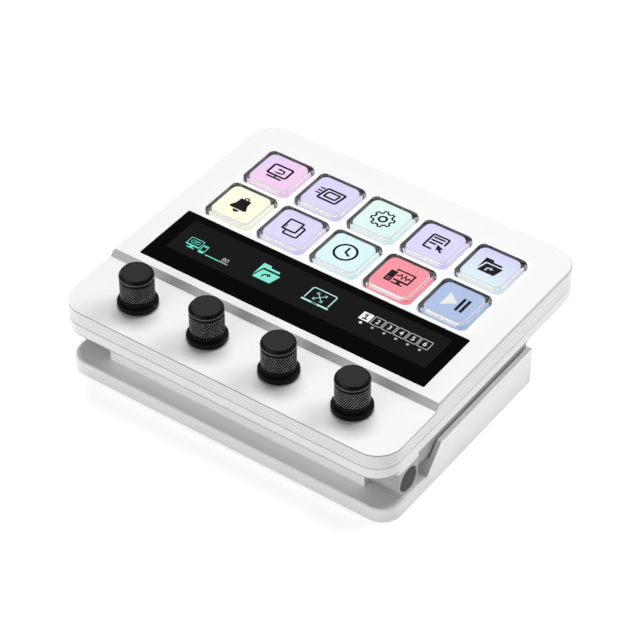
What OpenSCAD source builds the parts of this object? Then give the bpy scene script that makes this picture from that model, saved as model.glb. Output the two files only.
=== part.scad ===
/* [Deck] */
// Width of the deck
deck_w = 132; // [126:0.5:170]
// Depth of the deck, front edge to rear edge
deck_d = 118.2; // [110:0.2:150]
// Thickness of the deck from its underside to the raised plateau
deck_t = 13.8; // [12.5:0.1:18]
// Radius of the deck's upright corners
deck_r = 9.5; // [7:0.5:11]
// Rounding of the deck's top edge
top_edge = 0.9; // [0.5:0.1:1.5]
// Rounding of the deck's bottom edge
bottom_edge = 2; // [1:0.1:2.2]
// Wall of both deck shells
wall = 2.2; // [1.9:0.1:2.8]
// Thickness of the roof and floor of the deck
skin = 1.8; // [1.5:0.1:2.2]
// How far below the plateau the seam between the two shells runs
seam_drop = 8.15; // [7.5:0.05:9]
// Open line left between the two shells
seam_gap = 0.3; // [0.2:0.05:0.5]

/* [Knob ledge] */
// How far the ledge lies below the plateau
ledge_drop = 2.2; // [1.6:0.1:2.6]
// Depth of the ledge, front edge to the foot of the step
ledge_d = 28.7; // [26:0.1:34]
// Run of the sloping step
step_run = 2; // [1:0.1:3]
// Distance from one knob's axis to the next
knob_pitch = 28.8; // [26:0.1:30]
// Distance of the knob axes from the front edge
knob_inset = 14.9; // [13:0.1:17]

/* [Knobs] */
// Radius of the wide skirt
skirt_r = 7; // [6.7:0.1:8.5]
// Height of the skirt
skirt_h = 1.9; // [1.7:0.1:2.4]
// Radius of the plain collar above the skirt
collar_r = 5.7; // [5.5:0.1:6.2]
// Height of the plain collar
collar_h = 2.1; // [1:0.1:3]
// Radius over the points of the knurling
knurl_r = 5.95; // [5.8:0.05:6.5]
// Depth of the knurling
knurl_depth = 0.3; // [0.15:0.05:0.4]
// Length of the knurled band
knurl_h = 7; // [5:0.1:9]
// Diamonds around the knurled band
knurl_count = 44; // [20:1:48]
// Rows of points along the knurled band
knurl_rows = 10; // [6:2:14]
// Height of the turned head above the knurling
head_h = 2.3; // [2:0.1:3]
// Gap between the skirt and the ledge
knob_lift = 0.45; // [0.42:0.01:0.8]
// How far a knob can be pressed
push_travel = 0.35; // [0.2:0.05:0.4]

/* [Keys] */
// Distance from one key to the next, both ways
key_pitch = 21.9; // [21.6:0.1:24]
// Width of a square key opening
well_w = 19.7; // [19.2:0.1:20.5]
// Corner radius of a key opening
well_r = 2.7; // [2:0.1:4]
// Distance from the rear edge to the rear row of key openings
well_inset = 13.65; // [10:0.05:18]
// Gap around a keycap in its opening
key_gap = 0.25; // [0.15:0.05:0.35]
// How far a keycap stands above the plateau
key_proud = 1.6; // [1.3:0.1:2.2]
// How far a keycap travels
key_travel = 1.2; // [0.8:0.1:1.4]
// Width of the square picture tile inside a keycap
tile_w = 15.6; // [14.5:0.1:16]
// Thickness of the clear cap above its tile
cap_roof = 0.5; // [0.3:0.05:0.8]

/* [Touch strip] */
// Width of the strip's glass
glass_w = 115; // [100:0.5:118]
// Depth of the strip's glass
glass_d = 27.3; // [24:0.1:28]
// Thickness of the glass
glass_t = 0.9; // [0.6:0.1:1.2]
// Gap between the step and the glass
glass_inset = 3.3; // [2:0.1:4]

/* [Stand] */
// Depth of the stand
stand_d = 84.6; // [80:0.2:92]
// Distance from the deck's front edge back to the stand's front edge
stand_inset = 2.7; // [1:0.1:4]
// Thickness of the stand's plate
plate_t = 5.5; // [5:0.1:7]
// Radius of the stand's front corners
stand_r = 7.5; // [5:0.5:9]
// Height of the stand's cheeks above its underside
cheek_h = 15; // [12:0.1:16]
// Thickness of a cheek
cheek_t = 1.8; // [1.4:0.1:2]
// Gap between the deck's belly and a cheek
belly_gap = 0.4; // [0.3:0.05:1]
// Height of the rubber feet below the stand
foot_h = 0.8; // [0.5:0.1:1.5]

/* [Hinge] */
// Height of the hinge axis above the stand's underside
axis_h = 13.3; // [12.8:0.1:15]
// Distance of the hinge axis from the deck's front edge
axis_inset = 13.8; // [13:0.1:16]
// Radius of a hinge lug
lug_r = 5.9; // [5.4:0.1:6.2]
// Width of a hinge lug
lug_w = 13.5; // [11:0.1:16]
// Radius of the dark cap over a hinge pin
cap_r = 4.4; // [4:0.1:4.8]
// Radius of a hinge pin
pin_r = 2; // [1.5:0.1:2.2]
// Height of the deck's underside above the hinge axis
deck_rise = 6.2; // [6:0.1:7]

/* [Hidden] */
// Segments of a full turn
fine = 96;
// Running clearance of shafts and pins, on the radius
run_fit = 0.05;
// Clearance of a part laid in its recess
lay_fit = 0.1;
// Overlap that joins two features of one piece
bond = 0.5;
// Cuts run this far past a face
past = 1;

// Heights, from the surface that the feet stand on
stand_z = foot_h;
plate_z = stand_z + plate_t;
cheek_z = stand_z + cheek_h;
axis_z = stand_z + axis_h;
deck_z = axis_z + deck_rise;
plateau_z = deck_z + deck_t;
ledge_z = plateau_z - ledge_drop;
seam_z = plateau_z - seam_drop;

// Depths, from the middle of the deck
front_y = -deck_d/2;
rear_y = deck_d/2;
step_y = front_y + ledge_d;
axis_y = front_y + axis_inset;
knob_y = front_y + knob_inset;
stand_front_y = front_y + stand_inset;
stand_rear_y = stand_front_y + stand_d;

// Lip that lines up the two shells
lip_t = 0.85;
lip_h = 1.6;
lip_in = wall - lip_t;

// Belly of the bottom shell, which drops between the cheeks
belly_w = deck_w - 2*cheek_t - 2*belly_gap;
belly_front_y = axis_y + lug_r + 1;
belly_rear_y = stand_rear_y + 2.5;
belly_d = belly_rear_y - belly_front_y;
belly_y = (belly_rear_y + belly_front_y)/2;
belly_z = plate_z + 4.7;
belly_r = 3.5;
belly_edge = 1.5;

// Hinge block of the stand, between the lugs
lug_x = deck_w/2 - lug_w;
washer_t = 0.4;
washer_gap = 0.05;
block_x = lug_x - washer_t - 2*washer_gap;
block_r = 4.4;
cap_t = 1.5;
cap_rim = 0.4;
lug_edge = 0.6;
pin_grip = 14;
pin_x = deck_w/2 - cap_t - 0.3;

// Slope at the front of the cheeks
cheek_front_y = axis_y + lug_r + 5;
cheek_run = 7.7;

// Ramp at the foot of each cheek, under the belly's front corner
ramp_w = 14;
ramp_gap = 0.3;
ramp_d = 12;
ramp_h = belly_z - ramp_gap - plate_z;

// Underside of the stand
shell_t = 2;
roof_t = 1.8;
cover_t = 1.5;
cover_gap = 0.2;
weight_t = 1.9;
foot_r = 5;
foot_sink = 0.5;
foot_in = 16;
boss_r = 3;
boss_in = 8.5;
screw_r = 1.2;
head_r = 2.4;
screw_head = 1;
pad_r = 4;
pad_sink = 0.8;
pad_gap = 0.2;
pad_in = 21;
pad_back = 14;

// Keys
key_cols = 5;
key_rows = 2;
cap_w = well_w - 2*key_gap;
cap_corner = well_r - key_gap;
cap_edge = 0.9;
tile_r = 2.3;
flange_w = key_pitch - 0.9;
flange_t = 0.95;
flange_gap = 0.05;
cap_floor_z = plateau_z - skin - flange_gap - flange_t;
cap_h = plateau_z + key_proud - cap_floor_z;
tile_gap = 0.05;
window_w = 16.6;
spring_rim = 0.8;
spring_h = key_travel + 0.4;
frame_t = 0.8;
frame_z = cap_floor_z - spring_h - frame_t;
frame_edge = 1.2;
lcd_t = 2;
lcd_edge = 0.4;

// Strip glass and the display under it
glass_sink = 0.1;
glass_corner = 0.6;
strip_border = 3;
strip_t = 2.2;
glass_y = step_y + step_run + glass_inset + glass_d/2;

// Rotary encoders
bush_r = 3.5;
bush_top = 1.55;
nut_h = 1.3;
nut_r = 4.6;
nut_room = 5.4;
case_w = 12;
case_h = 5.9;
case_cavity = 3.6;
case_lid = 1.9;
shaft_r = 3;
shaft_flat = 0.6;
flat_h = 7;
shaft_h = 11;
plunger_r = 3.4;
plunger_h = 1.05;
rib_h = 1.2;
board_t = 1.6;
case_top_z = ledge_z - skin - 0.2;
case_z = case_top_z - case_h;
cavity_z = case_z + 0.6;
plunger_z = cavity_z + push_travel + 0.35;
shaft_z = plunger_z + plunger_h + 0.05;

// Main board and its socket
main_post_h = 3;
main_z = belly_z + main_post_h;
board_screw_r = 0.8;
socket_w = 8.9;
socket_h = 3.2;
socket_d = 7.3;
socket_gap = 0.2;
socket_wall = 0.35;

// Screws that close the deck: two in front between the knobs, two at the rear corners
case_posts = [[-knob_pitch, front_y + 6.1], [knob_pitch, front_y + 6.1],
              [-(deck_w/2 - 8), rear_y - 7.6], [deck_w/2 - 8, rear_y - 7.6]];
post_r = 3;
stand_posts = [for (x = [-1, 1], y = [stand_front_y + 26, stand_rear_y - 18]) [x*(deck_w/2 - boss_in), y]];
main_posts = [for (x = [-1, 1], y = [belly_front_y + 7, belly_rear_y - 10]) [x*(belly_w/2 - 9), y]];

function knob_x(n) = (n - 2.5)*knob_pitch;
function key_x(n) = ((n - 1) % key_cols - (key_cols - 1)/2)*key_pitch;
function key_y(n) = rear_y - well_inset - well_w/2 - floor((n - 1)/key_cols)*key_pitch;

// Rounded rectangle, centred
module outline(w, d, r) {
    for (x = [-1, 1], y = [-1, 1])
        translate([x*(w/2 - r), y*(d/2 - r)]) circle(r, $fn = fine);
    square([w - 2*r, d], center = true);
    square([w, d - 2*r], center = true);
}

// Half section of a slab whose top edge is rounded
module edge_profile(reach, h, edge) {
    square([reach - edge, h]);
    square([reach, h - edge]);
    translate([reach - edge, h - edge]) circle(edge, $fn = fine);
}

// Slab with upright corners of radius r and a rounded top edge, standing on z = 0
module slab(w, d, r, h, edge) {
    x = w/2 - r;
    y = d/2 - r;
    for (corner = [[x, y, 0], [-x, y, 90], [-x, -y, 180], [x, -y, 270]])
        translate([corner[0], corner[1], 0]) rotate([0, 0, corner[2]])
            rotate_extrude(angle = 90, $fn = fine) edge_profile(r, h, edge);
    for (side = [0, 1]) mirror([side, 0, 0]) translate([x, y, 0]) rotate([90, 0, 0])
        linear_extrude(2*y) edge_profile(r, h, edge);
    for (side = [0, 1]) mirror([0, side, 0]) translate([-x, y, 0]) rotate([90, 0, 90])
        linear_extrude(2*x) edge_profile(r, h, edge);
    translate([-x, -y, 0]) cube([2*x, 2*y, h]);
}

// The same slab hung from z = 0 with its bottom edge rounded
module hung_slab(w, d, r, h, edge) {
    mirror([0, 0, 1]) slab(w, d, r, h, edge);
}

// Prism with an outline in the Y-Z plane, from x0 to x1
module side_prism(x0, x1) {
    translate([x0, 0, 0]) rotate([90, 0, 90]) linear_extrude(x1 - x0) children();
}

// Post or hole standing at each point of a list
module at_points(points, z) {
    for (p = points) translate([p[0], p[1], z]) children();
}

// Pan-head screw pointing up, its head's face at z = 0
module screw(length) {
    cylinder(r = head_r, h = screw_head, $fn = fine);
    cylinder(r = screw_r, h = length, $fn = fine);
}

// ---- stand ----

module hinge_section(r) {
    translate([axis_y, axis_z]) circle(r, $fn = fine);
}

module stand_shell() {
    depth = stand_d;
    mid_y = stand_front_y + depth/2;
    color("whitesmoke") difference() {
        union() {
            intersection() {
                translate([0, mid_y, stand_z]) slab(deck_w, depth, stand_r, plate_t, top_edge);
                translate([-deck_w, stand_front_y - past, stand_z - past])
                    cube([2*deck_w, cheek_front_y - stand_front_y + past, plate_t + 2*past]);
            }
            translate([-deck_w/2, cheek_front_y, stand_z])
                cube([deck_w, stand_rear_y - cheek_front_y, plate_t]);
            for (side = [0, 1]) mirror([side, 0, 0]) side_prism(deck_w/2 - cheek_t, deck_w/2)
                polygon([[cheek_front_y, stand_z], [cheek_front_y, plate_z],
                         [cheek_front_y + cheek_run, cheek_z], [stand_rear_y, cheek_z],
                         [stand_rear_y, stand_z]]);
            for (side = [0, 1]) mirror([side, 0, 0]) side_prism(deck_w/2 - ramp_w, deck_w/2 - cheek_t + bond)
                polygon([[cheek_front_y, plate_z - bond], [cheek_front_y, plate_z],
                         [cheek_front_y + cheek_run*ramp_h/(cheek_z - plate_z), plate_z + ramp_h],
                         [cheek_front_y + ramp_d, plate_z + ramp_h], [cheek_front_y + ramp_d, plate_z - bond]]);
            side_prism(-block_x, block_x) {
                hinge_section(block_r);
                translate([axis_y - block_r, plate_z - bond]) square([2*block_r, axis_z - plate_z + bond]);
            }
        }
        difference() {
            translate([0, mid_y, stand_z - past])
                linear_extrude(plate_t - roof_t + past)
                    outline(deck_w - 2*shell_t, depth - 2*shell_t, stand_r - shell_t);
            at_points(stand_posts, stand_z + cover_t) cylinder(r = boss_r, h = plate_t, $fn = fine);
        }
        at_points(stand_posts, stand_z) cylinder(r = screw_r + run_fit, h = plate_t - 1, $fn = fine);
        for (side = [0, 1]) mirror([side, 0, 0]) translate([block_x + past, axis_y, axis_z])
            rotate([0, -90, 0]) cylinder(r = pin_r + 0.02, h = pin_grip + past, $fn = fine);
        for (side = [-1, 1]) translate([side*(deck_w/2 - pad_in), stand_rear_y - pad_back, plate_z - pad_sink])
            cylinder(r = pad_r + lay_fit, h = pad_sink + past, $fn = fine);
    }
}

module stand_cover() {
    depth = stand_d - 2*shell_t - 2*cover_gap;
    color("gainsboro") difference() {
        translate([0, stand_front_y + stand_d/2, stand_z]) linear_extrude(cover_t)
            outline(deck_w - 2*shell_t - 2*cover_gap, depth, stand_r - shell_t - cover_gap);
        at_points(stand_posts, stand_z - past) cylinder(r = screw_r + 0.2, h = cover_t + 2*past, $fn = fine);
        at_points(stand_posts, stand_z - past) cylinder(r = head_r + 0.2, h = screw_head + past, $fn = fine);
        at_points(foot_points(), stand_z - past)
            cylinder(r = foot_r + lay_fit, h = foot_sink + past, $fn = fine);
    }
}

function foot_points() = [for (x = [-1, 1], y = [stand_front_y + 12, stand_rear_y - 9])
    [x*(deck_w/2 - foot_in), y]];

module stand_weight() {
    clear = deck_w/2 - boss_in - boss_r - 2;
    color("slategray") translate([0, stand_front_y + stand_d/2, stand_z + cover_t])
        linear_extrude(weight_t) outline(2*clear, stand_d - 2*shell_t - 8, 4);
}

module stand_screws() {
    color("dimgray") at_points(stand_posts, stand_z) screw(plate_t - 1.3);
}

module rubber_feet() {
    color("darkslategray") at_points(foot_points(), 0)
        rotate_extrude($fn = fine) polygon([[0, 0], [foot_r - 0.4, 0], [foot_r, 0.4],
                                            [foot_r, foot_h + foot_sink], [0, foot_h + foot_sink]]);
}

module rest_pads() {
    color("darkslategray") for (side = [-1, 1])
        translate([side*(deck_w/2 - pad_in), stand_rear_y - pad_back, plate_z - pad_sink])
            cylinder(r = pad_r, h = belly_z - plate_z + pad_sink - pad_gap, $fn = fine);
}

module hinge_pins() {
    color("silver") for (side = [0, 1]) mirror([side, 0, 0])
        translate([block_x - pin_grip + 0.3, axis_y, axis_z]) rotate([0, 90, 0])
            cylinder(r = pin_r, h = pin_x - block_x + pin_grip - 0.3, $fn = fine);
}

module friction_washers() {
    color("goldenrod") for (side = [0, 1]) mirror([side, 0, 0])
        translate([block_x + washer_gap, axis_y, axis_z]) rotate([0, 90, 0]) difference() {
            cylinder(r = block_r - 0.4, h = washer_t, $fn = fine);
            translate([0, 0, -past]) cylinder(r = pin_r + run_fit, h = washer_t + 2*past, $fn = fine);
        }
}

// ---- deck shells ----

module deck_outline(inset) {
    outline(deck_w - 2*inset, deck_d - 2*inset, deck_r - inset);
}

// Space over the ledge, kept clear in front of the step
module over_ledge(rise) {
    side_prism(-deck_w, deck_w)
        polygon([[front_y - 2*past, ledge_z + rise], [step_y, ledge_z + rise],
                 [step_y + step_run*(ledge_drop + past)/ledge_drop, plateau_z + past + rise],
                 [step_y, plateau_z + past + rise + 2], [front_y - 2*past, plateau_z + past + rise + 2]]);
}

module top_shell() {
    low_z = seam_z + seam_gap/2;
    color("white") difference() {
        union() {
            difference() {
                translate([0, 0, low_z]) slab(deck_w, deck_d, deck_r, plateau_z - low_z, top_edge);
                over_ledge(0);
            }
            intersection() {
                translate([0, 0, low_z]) slab(deck_w, deck_d, deck_r, ledge_z - low_z, top_edge);
                translate([-deck_w, front_y - past, 0]) cube([2*deck_w, ledge_d - 5, plateau_z]);
            }
        }
        difference() {
            translate([0, 0, low_z - past]) linear_extrude(plateau_z - skin - low_z + past)
                deck_outline(wall);
            translate([0, 0, -skin]) over_ledge(0);
            at_points(case_posts, low_z - 2*past) cylinder(r = post_r, h = deck_t, $fn = fine);
        }
        translate([0, 0, low_z - past]) linear_extrude(lip_h - seam_gap/2 + past) difference() {
            deck_outline(lip_in - lay_fit);
            deck_outline(wall + 0.2);
        }
        at_points(case_posts, low_z - 2*past) cylinder(r = screw_r + run_fit, h = 7, $fn = fine);
        for (n = [1 : key_cols*key_rows]) translate([key_x(n), key_y(n), plateau_z - skin - past])
            linear_extrude(skin + 2*past) outline(well_w, well_w, well_r);
        translate([0, glass_y, plateau_z - glass_t - glass_sink]) linear_extrude(glass_t + glass_sink + past)
            outline(glass_w + 2*lay_fit, glass_d + 2*lay_fit, glass_corner);
        translate([0, glass_y, plateau_z - skin - past]) linear_extrude(skin + past)
            outline(glass_w - 2*strip_border, glass_d - 2*strip_border, glass_corner);
        for (n = [1 : 4]) translate([knob_x(n), knob_y, ledge_z - skin - past])
            cylinder(r = bush_r + lay_fit, h = skin + 2*past, $fn = fine);
    }
}

// Hinge lug on the right, its outer face bevelled all round
module lug() {
    flat_w = lug_w - lug_edge;
    translate([lug_x, axis_y, axis_z]) {
        rotate([0, 90, 0]) {
            cylinder(r = lug_r, h = flat_w, $fn = fine);
            translate([0, 0, flat_w]) cylinder(r1 = lug_r, r2 = lug_r - lug_edge, h = lug_edge, $fn = fine);
        }
        linear_extrude(deck_rise + bottom_edge + bond)
            polygon([[0, -lug_r], [flat_w, -lug_r], [lug_w, lug_edge - lug_r],
                     [lug_w, lug_r - lug_edge], [flat_w, lug_r], [0, lug_r]]);
    }
}

module bottom_shell() {
    top_z = seam_z - seam_gap/2;
    floor_z = deck_z + skin;
    color("white") difference() {
        union() {
            translate([0, 0, top_z]) hung_slab(deck_w, deck_d, deck_r, top_z - deck_z, bottom_edge);
            translate([0, belly_y, floor_z])
                hung_slab(belly_w, belly_d, belly_r, floor_z - belly_z, belly_edge);
            intersection() {
                for (side = [0, 1]) mirror([side, 0, 0]) lug();
                translate([0, 0, belly_z - 2*lug_r]) linear_extrude(deck_t + 2*lug_r) deck_outline(0);
            }
            translate([0, 0, top_z - bond]) linear_extrude(lip_h + seam_gap/2 + bond) difference() {
                deck_outline(lip_in);
                deck_outline(wall);
            }
        }
        translate([0, 0, floor_z]) linear_extrude(deck_t) deck_outline(wall);
        difference() {
            translate([0, belly_y, belly_z + skin]) linear_extrude(floor_z - belly_z)
                outline(belly_w - 4, belly_d - 4, belly_r - 2);
            at_points(main_posts, belly_z) cylinder(r = 2.4, h = main_z - belly_z, $fn = fine);
        }
        at_points(main_posts, main_z - main_post_h + 1)
            cylinder(r = board_screw_r + run_fit, h = deck_t, $fn = fine);
        at_points(case_posts, deck_z - past) cylinder(r = screw_r + 0.2, h = skin + 2*past, $fn = fine);
        at_points(case_posts, deck_z - past) cylinder(r = head_r + 0.2, h = screw_head + past, $fn = fine);
        for (side = [0, 1]) mirror([side, 0, 0]) translate([lug_x - past, axis_y, axis_z]) rotate([0, 90, 0]) {
            cylinder(r = pin_r + run_fit, h = lug_w + past, $fn = fine);
            translate([0, 0, lug_w + past - cap_t]) cylinder(r = cap_r + run_fit, h = cap_t + past, $fn = fine);
            translate([0, 0, lug_w + past - cap_rim])
                cylinder(r1 = cap_r + run_fit, r2 = cap_r + run_fit + cap_rim, h = cap_rim, $fn = fine);
        }
        translate([0, belly_rear_y + past, main_z + board_t + socket_h/2]) rotate([90, 0, 0])
            linear_extrude(4 + past)
                outline(socket_w + 2*socket_gap, socket_h + 2*socket_gap, socket_h/2 + socket_gap - 0.01);
    }
}

module hinge_caps() {
    color("dimgray") for (side = [0, 1]) mirror([side, 0, 0])
        translate([deck_w/2 - cap_t, axis_y, axis_z]) rotate([0, 90, 0])
            rotate_extrude($fn = fine) polygon([[0, 0], [cap_r, 0], [cap_r, cap_t - 0.35],
                                                [cap_r - 0.25, cap_t - 0.1], [0, cap_t - 0.1]]);
}

module case_screws() {
    color("dimgray") at_points(case_posts, deck_z) screw(seam_z - deck_z + 2.5);
}

// ---- displays ----

module strip_glass() {
    color("black") translate([0, glass_y, plateau_z - glass_t - glass_sink])
        linear_extrude(glass_t) outline(glass_w, glass_d, glass_corner - lay_fit);
}

module strip_display() {
    edge = strip_border + 0.25;
    color("dimgray") translate([0, glass_y, plateau_z - glass_t - glass_sink - strip_t])
        linear_extrude(strip_t) outline(glass_w - 2*edge, glass_d - 2*edge, glass_corner - 0.2);
}

module key_field(extra) {
    w = (key_cols - 1)*key_pitch + flange_w + 2*extra;
    d = (key_rows - 1)*key_pitch + flange_w + 2*extra;
    translate([0, (key_y(1) + key_y(key_cols + 1))/2]) outline(w, d, 1);
}

module key_display() {
    color("dimgray") translate([0, 0, frame_z - lcd_t]) linear_extrude(lcd_t) key_field(-lcd_edge);
}

module key_frame() {
    color("dimgray") translate([0, 0, frame_z]) linear_extrude(frame_t) difference() {
        key_field(frame_edge);
        for (n = [1 : key_cols*key_rows]) translate([key_x(n), key_y(n)]) outline(window_w, window_w, 1);
    }
}

// Silicone sheet with one raised ring under each keycap
module key_springs() {
    sheet_t = 0.4;
    color("lightgray") translate([0, 0, frame_z + frame_t]) {
        linear_extrude(sheet_t) difference() {
            key_field(frame_edge - 0.5);
            for (n = [1 : key_cols*key_rows]) translate([key_x(n), key_y(n)]) outline(window_w, window_w, 1);
        }
        for (n = [1 : key_cols*key_rows]) translate([key_x(n), key_y(n), sheet_t])
            linear_extrude(spring_h - sheet_t) difference() {
                outline(window_w + 1 + 2*spring_rim, window_w + 1 + 2*spring_rim, 1.2 + spring_rim);
                outline(window_w + 1, window_w + 1, 1.2);
            }
    }
}

// Clear cap, open below over its tile
module keycap(n) {
    color("azure", 0.5) translate([key_x(n), key_y(n), cap_floor_z]) difference() {
        union() {
            slab(cap_w, cap_w, cap_corner, cap_h, cap_edge);
            linear_extrude(flange_t) outline(flange_w, flange_w, cap_corner + 0.5);
        }
        translate([0, 0, -past]) linear_extrude(cap_h - cap_roof + past)
            outline(tile_w + 2*lay_fit, tile_w + 2*lay_fit, tile_r + lay_fit);
    }
}

module picture_tile(n) {
    color("lavender") translate([key_x(n), key_y(n), cap_floor_z])
        linear_extrude(cap_h - cap_roof - tile_gap) outline(tile_w, tile_w, tile_r);
}

// ---- boards ----

module main_board() {
    color("darkgreen") translate([0, 0, main_z]) linear_extrude(board_t) difference() {
        translate([0, belly_y - 0.5]) outline(belly_w - 6, belly_d - 7, 2);
        at_points(main_posts, 0) circle(1.2, $fn = fine);
    }
}

module usb_socket() {
    color("silver") translate([0, belly_rear_y - 0.3, main_z + board_t + socket_h/2]) rotate([90, 0, 0])
        difference() {
            linear_extrude(socket_d) outline(socket_w, socket_h, socket_h/2 - 0.01);
            translate([0, 0, -past]) linear_extrude(socket_d - 0.8 + past) difference() {
                outline(socket_w - 2*socket_wall, socket_h - 2*socket_wall, socket_h/2 - socket_wall - 0.01);
                translate([0, 0]) square([6.6, 0.7], center = true);
            }
            translate([0, 0, -past]) linear_extrude(0.8 + past) square([7, 1], center = true);
        }
}

module knob_board() {
    color("darkgreen") translate([0, 0, case_z - board_t]) linear_extrude(board_t) difference() {
        translate([0, knob_y]) outline(3*knob_pitch + 2*case_w - 6, 20, 2);
        at_points(case_posts, 0) circle(post_r + 0.5, $fn = fine);
    }
}

module encoders() {
    color("silver") for (n = [1 : 4]) translate([knob_x(n), knob_y, 0]) difference() {
        union() {
            translate([0, 0, case_z]) linear_extrude(case_h) outline(case_w, case_w, 0.8);
            translate([0, 0, case_z + bond])
                cylinder(r = bush_r, h = ledge_z + bush_top - case_z - bond, $fn = fine);
        }
        translate([0, 0, cavity_z])
            cylinder(r = case_cavity - 0.1, h = case_top_z - case_lid - cavity_z, $fn = fine);
        translate([0, 0, cavity_z + past]) cylinder(r = shaft_r + run_fit, h = deck_t, $fn = fine);
    }
}

module encoder_nuts() {
    color("silver") for (n = [1 : 4]) translate([knob_x(n), knob_y, ledge_z]) difference() {
        cylinder(r = nut_r, h = nut_h, $fn = 6);
        translate([0, 0, -past]) cylinder(r = bush_r + run_fit, h = nut_h + 2*past, $fn = fine);
    }
}

module board_screws() {
    head_h = 0.9;
    color("dimgray") at_points(main_posts, main_z + board_t + head_h) rotate([180, 0, 0]) {
        cylinder(r = 1.7, h = head_h, $fn = fine);
        cylinder(r = board_screw_r, h = head_h + board_t + main_post_h - 1.2, $fn = fine);
    }
}

module plunger(n) {
    color("ivory") translate([knob_x(n), knob_y, plunger_z])
        cylinder(r = plunger_r - 0.1, h = plunger_h, $fn = fine);
}

module shaft(n) {
    top = ledge_z + knob_lift + shaft_h;
    color("silver") translate([knob_x(n), knob_y, 0]) {
        translate([0, 0, shaft_z]) cylinder(r = plunger_r - 0.1, h = rib_h, $fn = fine);
        difference() {
            translate([0, 0, shaft_z]) cylinder(r = shaft_r, h = top - shaft_z, $fn = fine);
            translate([-shaft_r - past, shaft_r - shaft_flat, top - flat_h])
                cube([2*shaft_r + 2*past, 2*shaft_r, flat_h + past]);
        }
    }
}

// ---- knobs ----

// One ring of points of the knurling: every second point stands out, turned by one point from row to row
function knurl_ring(row) = let (flat = row == 0 || row == knurl_rows)
    [for (i = [0 : 2*knurl_count - 1])
        let (a = 180*i/knurl_count, out = !flat && (i + row) % 2 == 0, r = knurl_r - (out ? 0 : knurl_depth))
        [r*cos(a), r*sin(a), knurl_h*row/knurl_rows]];

// Each cell is split along the line that joins its two sunken points, so the grooves run along the diagonals
function knurl_cell(row, i) = let (
    n = 2*knurl_count,
    a = row*n + i, b = row*n + (i + 1) % n, c = (row + 1)*n + (i + 1) % n, d = (row + 1)*n + i)
    (i + row) % 2 == 0 ? [[a, d, b], [b, d, c]] : [[a, c, b], [a, d, c]];

// Cylinder with a diamond knurl, closed by flat ends
module knurled_band() {
    n = 2*knurl_count;
    points = [for (row = [0 : knurl_rows]) each knurl_ring(row)];
    sides = [for (row = [0 : knurl_rows - 1], i = [0 : n - 1]) each knurl_cell(row, i)];
    ends = [[for (i = [0 : n - 1]) i], [for (i = [n - 1 : -1 : 0]) knurl_rows*n + i]];
    polyhedron(points, concat(sides, ends));
}

module knob(n) {
    band_z = skirt_h + collar_h;
    head_z = band_z + knurl_h;
    top = head_z + head_h;
    color("black") translate([knob_x(n), knob_y, ledge_z + knob_lift]) difference() {
        union() {
            rotate_extrude($fn = fine) polygon([
                [0, 0], [skirt_r - 0.2, 0], [skirt_r, 0.2], [skirt_r, skirt_h - 0.5],
                [skirt_r - 0.5, skirt_h], [collar_r + 0.15, skirt_h], [collar_r, skirt_h + 0.15],
                [collar_r, band_z + 0.1], [knurl_r - knurl_depth - 0.25, band_z + 0.1],
                [knurl_r - knurl_depth - 0.25, head_z - 0.1], [knurl_r - 0.55, head_z - 0.1],
                [knurl_r - 0.55, head_z + 0.35], [knurl_r - 0.15, head_z + 0.35], [knurl_r, head_z + 0.5],
                [knurl_r, head_z + 0.95], [knurl_r - 0.12, head_z + 1.1], [knurl_r - 0.12, head_z + 1.45],
                [knurl_r - 0.75, top], [knurl_r - 0.95, top], [knurl_r - 1.05, top - 0.1], [0, top - 0.1]]);
            translate([0, 0, band_z]) knurled_band();
        }
        translate([0, 0, -past]) cylinder(r = nut_room, h = nut_h + push_travel + 0.15 + past, $fn = fine);
        difference() {
            cylinder(r = shaft_r + run_fit, h = shaft_h + 0.1, $fn = fine);
            translate([-shaft_r - past, shaft_r - shaft_flat + run_fit, shaft_h + 0.1 - flat_h])
                cube([2*shaft_r + 2*past, 2*shaft_r, flat_h + past]);
        }
    }
}

stand_shell();
stand_cover();
stand_weight();
stand_screws();
rubber_feet();
rest_pads();
hinge_pins();
friction_washers();
top_shell();
bottom_shell();
hinge_caps();
case_screws();
strip_glass();
strip_display();
key_display();
key_frame();
key_springs();
main_board();
usb_socket();
knob_board();
encoders();
encoder_nuts();
board_screws();
for (n = [1 : key_cols*key_rows]) keycap(n);
for (n = [1 : key_cols*key_rows]) picture_tile(n);
for (n = [1 : 4]) plunger(n);
for (n = [1 : 4]) shaft(n);
for (n = [1 : 4]) knob(n);
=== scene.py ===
import math
import bmesh
import bpy
from mathutils import Matrix, Quaternion, Vector


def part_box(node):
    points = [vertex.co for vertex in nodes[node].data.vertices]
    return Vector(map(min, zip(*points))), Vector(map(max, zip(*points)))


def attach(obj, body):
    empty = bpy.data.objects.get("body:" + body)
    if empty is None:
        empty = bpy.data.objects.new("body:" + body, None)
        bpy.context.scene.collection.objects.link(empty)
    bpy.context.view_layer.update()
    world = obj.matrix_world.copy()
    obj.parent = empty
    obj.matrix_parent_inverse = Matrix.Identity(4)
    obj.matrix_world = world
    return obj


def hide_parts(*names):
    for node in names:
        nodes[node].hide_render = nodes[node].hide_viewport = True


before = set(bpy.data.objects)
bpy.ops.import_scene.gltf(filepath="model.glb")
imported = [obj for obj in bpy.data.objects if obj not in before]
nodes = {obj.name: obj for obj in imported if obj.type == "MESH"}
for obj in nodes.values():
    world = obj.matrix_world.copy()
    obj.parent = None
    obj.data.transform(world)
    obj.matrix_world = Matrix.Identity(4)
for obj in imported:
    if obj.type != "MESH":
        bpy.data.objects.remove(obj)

scene = bpy.context.scene
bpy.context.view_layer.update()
mm = 0.001


def addObject(name, data):
    piece = bpy.data.objects.new(name, data)
    scene.collection.objects.link(piece)
    return piece


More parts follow.
